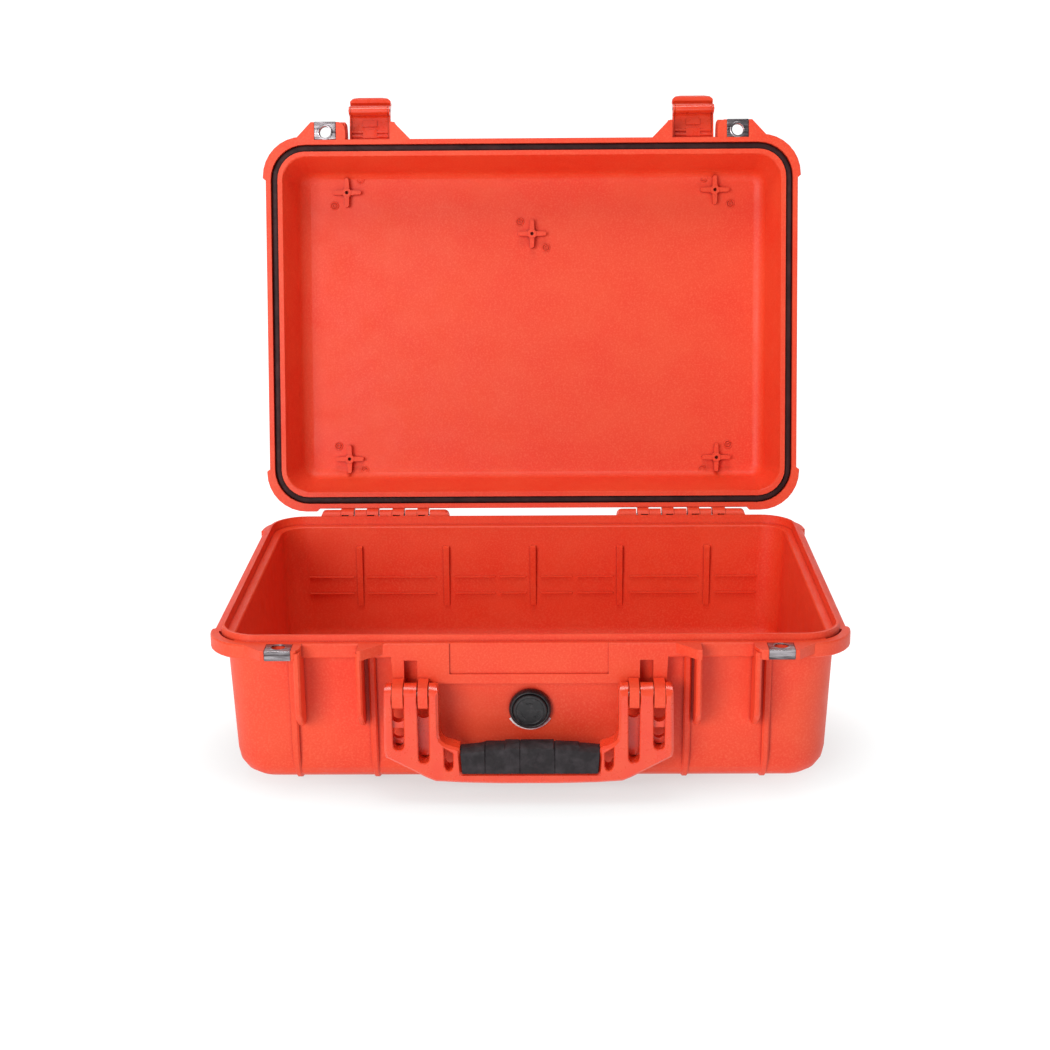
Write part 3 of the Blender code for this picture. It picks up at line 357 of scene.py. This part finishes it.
dress("base_shell", shell, 0.7)
dress("lid_shell", shell, 0.7)
dress("handle_frame", handle_plastic, 0.8)
dress("handle_grip", grip_material, 0.9)
dress("lid_gasket", gasket_material)
for side in ("left", "right"):
    dress("latch_lever_" + side, latch_plastic, 0.6)
    dress("latch_hook_" + side, latch_plastic, 0.4)
    dress("padlock_plate_base_" + side, plate_steel, 0.25)
    dress("padlock_plate_lid_" + side, plate_steel, 0.25)
    for pin in ("hinge_pin_", "handle_pin_", "latch_lid_pin_", "latch_hook_pin_"):
        dress(pin + side, pin_steel)
dress("valve_body", valve_plastic, 0.3)
dress("valve_knob", valve_plastic, 0.3)
dress("valve_nut", valve_plastic, 0.4)
dress("valve_seal", washer_material)
dress("valve_label", film)


# ---- small moulded marks


def ejector_marks():
    """The faint rings that the mould's pins leave on the lid's inner floor.

    A mark is about 8 mm across. Two lie beside each of the five screw bosses, at spots counted from
    the lid's middle.
    """
    section = [(1.0, 0.3), (1.2, -0.7), (1.6, -0.9), (2.0, -0.7), (2.2, -0.1), (2.7, -0.1)]
    section += [(2.9, -0.8), (3.3, -1.0), (3.7, -0.8), (3.9, 0.3)]
    spots = ((-153.5, -131.3), (-177.2, -108.0), (-10.9, -92.9), (12.6, -69.9))
    spots += ((153.6, -130.5), (177.6, -107.9), (-175.9, 107.5), (-152.5, 129.9))
    spots += ((176.0, 107.5), (152.6, 129.9))
    ring_points, ring_faces = turned_ring(section, 28)
    points = []
    faces = []
    for x, y in spots:
        centre = Vector((x * MM, y * MM + CASE_MID_Y, LID_FLOOR))
        first = len(points)
        points += [LID_TURN @ (centre + p * MM) for p in ring_points]
        faces += [tuple(first + i for i in face) for face in ring_faces]
    piece("lid_ejector_marks", points, faces, shell, "lid")


ejector_marks()


def plate_rings():
    """The pressed ring around each padlock hole, lower where the two halves meet."""
    section = [(5.05, -0.2), (5.05, 0.25), (5.5, 0.5), (6.3, 0.45), (6.9, -0.1), (6.6, -0.2)]
    ring_points, ring_faces = turned_ring(section, 32)
    for side, word in ((-1, "left"), (1, "right")):
        x = side * PADLOCK_HOLE_X
        for body, low in (("base", BASE_TOP - EAR_THICK), ("lid", LID_RIM)):
            points = []
            faces = []
            mating = low + EAR_THICK if body == "base" else low
            for level, facing in ((low, -1), (low + EAR_THICK, 1)):
                first = len(points)
                height = facing * (MATING_RING_HEIGHT if level == mating else 1.0)
                for p in ring_points:
                    raised = level + height * p.z * MM
                    spot = Vector((x + p.x * MM, PADLOCK_HOLE_Y + p.y * MM, raised))
                    points.append(LID_TURN @ spot if body == "lid" else spot)
                faces += [tuple(first + i for i in face) for face in ring_faces]
            name = "padlock_ring_%s_%s" % (body, word)
            piece(name, points, faces, plate_steel, body)


plate_rings()


# ---- floor, lights and camera


def floor_painted_glow():
    """Matt paper with a painted glow, weaker in an oval under the front of the case as a painted shadow."""
    # The paper's faint cyan offsets the red light that the case throws on the floor.
    surface = Surface("floor_painted_glow", (0.17, 0.205, 0.205), 0.75)
    surface.rough(surface.spread(surface.noise(120, 2.0), 0.7, 0.82))
    surface.shader.inputs["Specular IOR Level"].default_value = 0.1
    surface.shader.inputs["Emission Color"].default_value = (1.0, 1.0, 1.0, 1.0)
    squeeze = surface.tree.nodes.new("ShaderNodeMapping")
    squeeze.inputs["Scale"].default_value = GLOW_STRETCH
    squeeze.inputs["Location"].default_value = GLOW_SHIFT
    surface.link(surface.place, squeeze.inputs["Vector"])
    length = surface.tree.nodes.new("ShaderNodeVectorMath")
    length.operation = "LENGTH"
    surface.link(squeeze.outputs["Vector"], length.inputs[0])
    # Painted light: the floor glows, and the weaker oval near the case is a painted shadow.
    glow = surface.spread(length.outputs["Value"], GLOW_IN_PAINTED_SHADOW, 1.0, GLOW_START, GLOW_FULL)
    surface.link(glow, surface.shader.inputs["Emission Strength"])
    return surface.material


def build_floor():
    """A white sweep: floor that curves up far behind the case, with a glow of its own.

    The glow is weaker under the front of the case. That stands in for part of the soft shadow there.
    """
    section = [(FLOOR_FRONT, 0.0), (SWEEP_START, 0.0)]
    for i in range(1, SWEEP_STEPS + 1):
        angle = math.radians(90.0 * i / SWEEP_STEPS)
        section.append((SWEEP_START + SWEEP_RADIUS * math.sin(angle), SWEEP_RADIUS * (1 - math.cos(angle))))
    section.append((SWEEP_START + SWEEP_RADIUS, WALL_TOP))
    points = []
    for y, z in section:
        points += [(-FLOOR_HALF_WIDTH, y, z), (FLOOR_HALF_WIDTH, y, z)]
    faces = [(2 * i, 2 * i + 1, 2 * i + 3, 2 * i + 2) for i in range(len(section) - 1)]
    mesh = bpy.data.meshes.new("floor")
    mesh.from_pydata(points, [], faces)
    for polygon in mesh.polygons:
        polygon.use_smooth = True
    mesh.materials.append(floor_painted_glow())
    floor = bpy.data.objects.new("floor", mesh)
    bpy.context.scene.collection.objects.link(floor)


def softbox(name, place, aim, size, power):
    """A rectangular area light of size metres and power watts at place, turned towards aim."""
    light = bpy.data.lights.new(name, "AREA")
    light.shape = "RECTANGLE"
    light.size = size[0]
    light.size_y = size[1]
    light.energy = power
    lamp = bpy.data.objects.new(name, light)
    bpy.context.scene.collection.objects.link(lamp)
    lamp.location = place
    lamp.rotation_euler = (Vector(aim) - Vector(place)).to_track_quat("-Z", "Y").to_euler()


def build_light():
    """An even pale room, one large light from the front left and one from above."""
    world = bpy.data.worlds.new("studio")
    world.use_nodes = True
    background = world.node_tree.nodes["Background"]
    background.inputs["Color"].default_value = (1.0, 0.995, 0.99, 1.0)
    background.inputs["Strength"].default_value = 0.25
    bpy.context.scene.world = world
    softbox("key", (-1.3, -2.6, 0.95), (0.0, 0.0, 0.2), (1.3, 1.3), 47.0)
    softbox("top", (-0.15, -0.5, 2.3), (0.0, 0.1, 0.0), (1.1, 0.9), 22.0)


def build_camera():
    """The eye stands about a metre and a half in front, looking slightly down."""
    flat = math.cos(CAMERA_PITCH)
    ahead = Vector((math.sin(CAMERA_YAW) * flat, math.cos(CAMERA_YAW) * flat, -math.sin(CAMERA_PITCH)))
    level = Vector((math.cos(CAMERA_YAW), -math.sin(CAMERA_YAW), 0.0))
    upright = level.cross(ahead)
    right = level * math.cos(CAMERA_ROLL) + upright * math.sin(CAMERA_ROLL)
    up = upright * math.cos(CAMERA_ROLL) - level * math.sin(CAMERA_ROLL)
    data = bpy.data.cameras.new("camera")
    data.sensor_width = CAMERA_SENSOR
    data.lens = CAMERA_LENS
    data.dof.use_dof = False
    camera = bpy.data.objects.new("camera", data)
    bpy.context.scene.collection.objects.link(camera)
    rows = [(right[i], up[i], -ahead[i], CAMERA_EYE[i]) for i in range(3)]
    camera.matrix_world = Matrix((*rows, (0.0, 0.0, 0.0, 1.0)))
    bpy.context.scene.camera = camera


build_floor()
build_light()
build_camera()
bpy.context.scene.view_settings.view_transform = "Standard"
